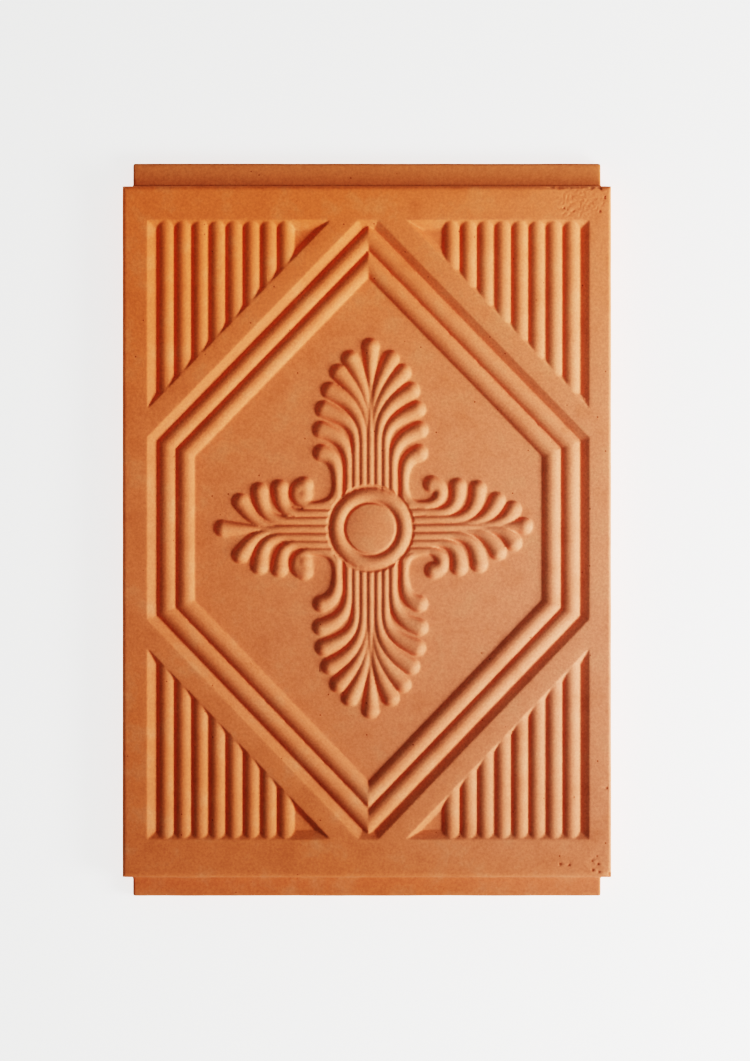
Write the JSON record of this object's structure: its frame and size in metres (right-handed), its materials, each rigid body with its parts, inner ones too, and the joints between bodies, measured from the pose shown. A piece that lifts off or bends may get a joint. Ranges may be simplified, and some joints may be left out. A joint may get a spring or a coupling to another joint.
{
  "type": "clay ceiling tile",
  "caption": "Rectangular fired clay ceiling tile with a tongue at each end, a moulded hexagon, reeded corner panels and a rosette of palmettes.",
  "frame": {"origin": "under the middle of the tile's overall outline, on its flat back", "axes": "+Z out of the decorated face, +Y along the length towards the longer tongue, +X across the width; the tile lies on its back"},
  "size_m": [0.254, 0.381, 0.02],
  "materials": {
    "fired_clay": "matte"
  },
  "bodies": {
    "root": {"ceiling_tile": "fired_clay"}
  },
  "joints": []
}
